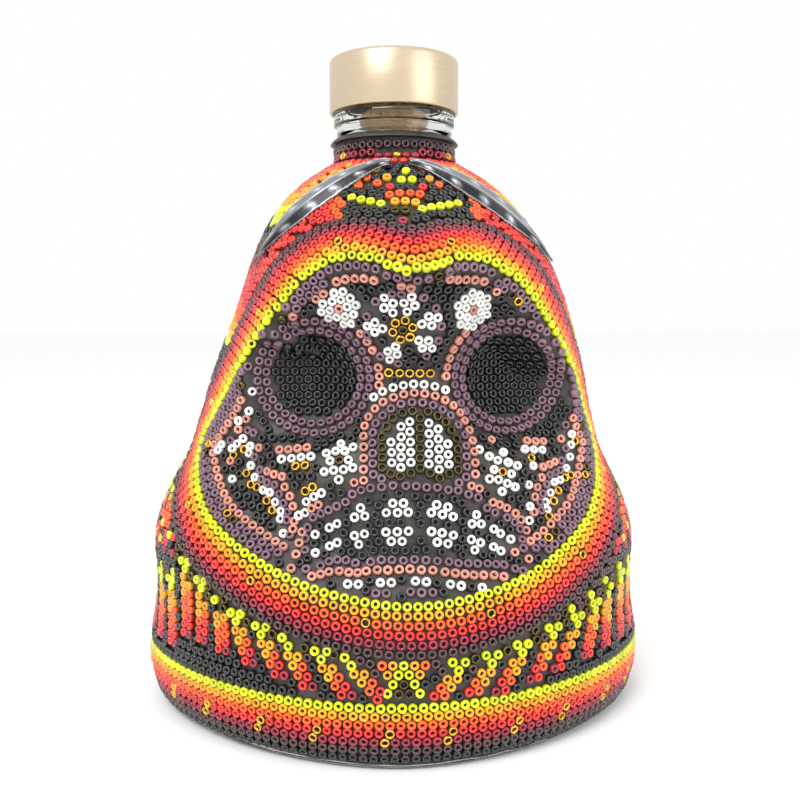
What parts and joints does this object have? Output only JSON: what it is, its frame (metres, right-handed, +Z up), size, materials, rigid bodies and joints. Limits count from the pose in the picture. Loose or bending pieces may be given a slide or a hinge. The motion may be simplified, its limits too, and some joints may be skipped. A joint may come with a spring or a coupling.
{
  "type": "beaded figure bottle",
  "caption": "Stoppered glass bottle in the form of a hooded skull figure, its body coated with wax and covered with rows and panels of seed beads.",
  "frame": {"origin": "middle of the underside of the glass heel, on the neck's axis", "axes": "+Z up along the neck, +X to the right of someone facing the figure, and the face looks along -Y"},
  "size_m": [0.138, 0.113, 0.1728],
  "materials": {
    "clear_glass": "clear, smoky where it is thick at the heel",
    "dark_wax": "satin mix of beeswax and pine resin",
    "embossed_metal": "bright thin sheet, embossed, dark in the hollows",
    "champagne_metal": "anodised champagne gold, satin",
    "dark_plastic": "matt",
    "natural_cork": "natural cork, matt",
    "yellow_beads": "glossy opaque glass",
    "amber_beads": "glossy opaque glass",
    "orange_beads": "glossy opaque glass",
    "red_beads": "glossy opaque glass",
    "maroon_beads": "glossy opaque glass",
    "brown_beads": "glossy opaque glass",
    "mauve_beads": "glossy opaque glass",
    "pink_beads": "glossy opaque glass",
    "white_beads": "glossy opaque glass",
    "black_beads": "glossy opaque glass",
    "bronze_beads": "glass with a metallic bronze lustre"
  },
  "bodies": {
    "figure": {"glass_bottle": "clear_glass", "wax_coat": "dark_wax", "left_hood_trim": "embossed_metal", "right_hood_trim": "embossed_metal", "base_course_black": "black_beads", "base_course_brown": "brown_beads", "base_course_maroon": "maroon_beads", "base_course_red": "red_beads", "base_course_orange": "orange_beads", "base_course_amber": "amber_beads", "base_course_yellow": "yellow_beads", "hood_course_yellow": "yellow_beads", "hood_course_amber": "amber_beads", "hood_course_orange": "orange_beads", "hood_course_red": "red_beads", "hood_course_maroon": "maroon_beads", "hood_course_brown": "brown_beads", "neck_course_brown": "brown_beads", "neck_course_maroon": "maroon_beads", "neck_course_red": "red_beads", "crown_panel": "black_beads", "robe_band": "black_beads", "left_sleeve": "red_beads", "right_sleeve": "red_beads", "back_panel": "black_beads", "mantle": "red_beads", "brow_course_outer_mauve": "mauve_beads", "brow_course_inner_mauve": "mauve_beads", "brow_course_inner_pink": "pink_beads", "left_cheek_course_mauve": "mauve_beads", "right_cheek_course_mauve": "mauve_beads", "left_cheek_course_pink": "pink_beads", "right_cheek_course_pink": "pink_beads", "left_eye_inner_course": "mauve_beads", "left_eye_outer_course": "mauve_beads", "right_eye_inner_course": "mauve_beads", "right_eye_outer_course": "mauve_beads", "nose_outer_course": "white_beads", "nose_inner_course": "pink_beads", "upper_lip_outer_course": "pink_beads", "upper_lip_inner_course": "mauve_beads", "lower_lip_course": "mauve_beads", "left_eye_socket": "black_beads", "right_eye_socket": "black_beads", "nose_panel": "bronze_beads", "teeth_panel": "black_beads", "chin_panel": "black_beads", "forehead_panel": "black_beads", "left_cheek_panel": "black_beads", "right_cheek_panel": "black_beads"},
    "stopper": {"stopper_cap": "champagne_metal", "stopper_insert": "dark_plastic", "stopper_cork": "natural_cork"}
  },
  "joints": [
    {"name": "stopper_pull", "type": "slide", "parent": "figure", "child": "stopper", "axis": [0, 0, 1], "range_m": [0, 0.035]}
  ]
}
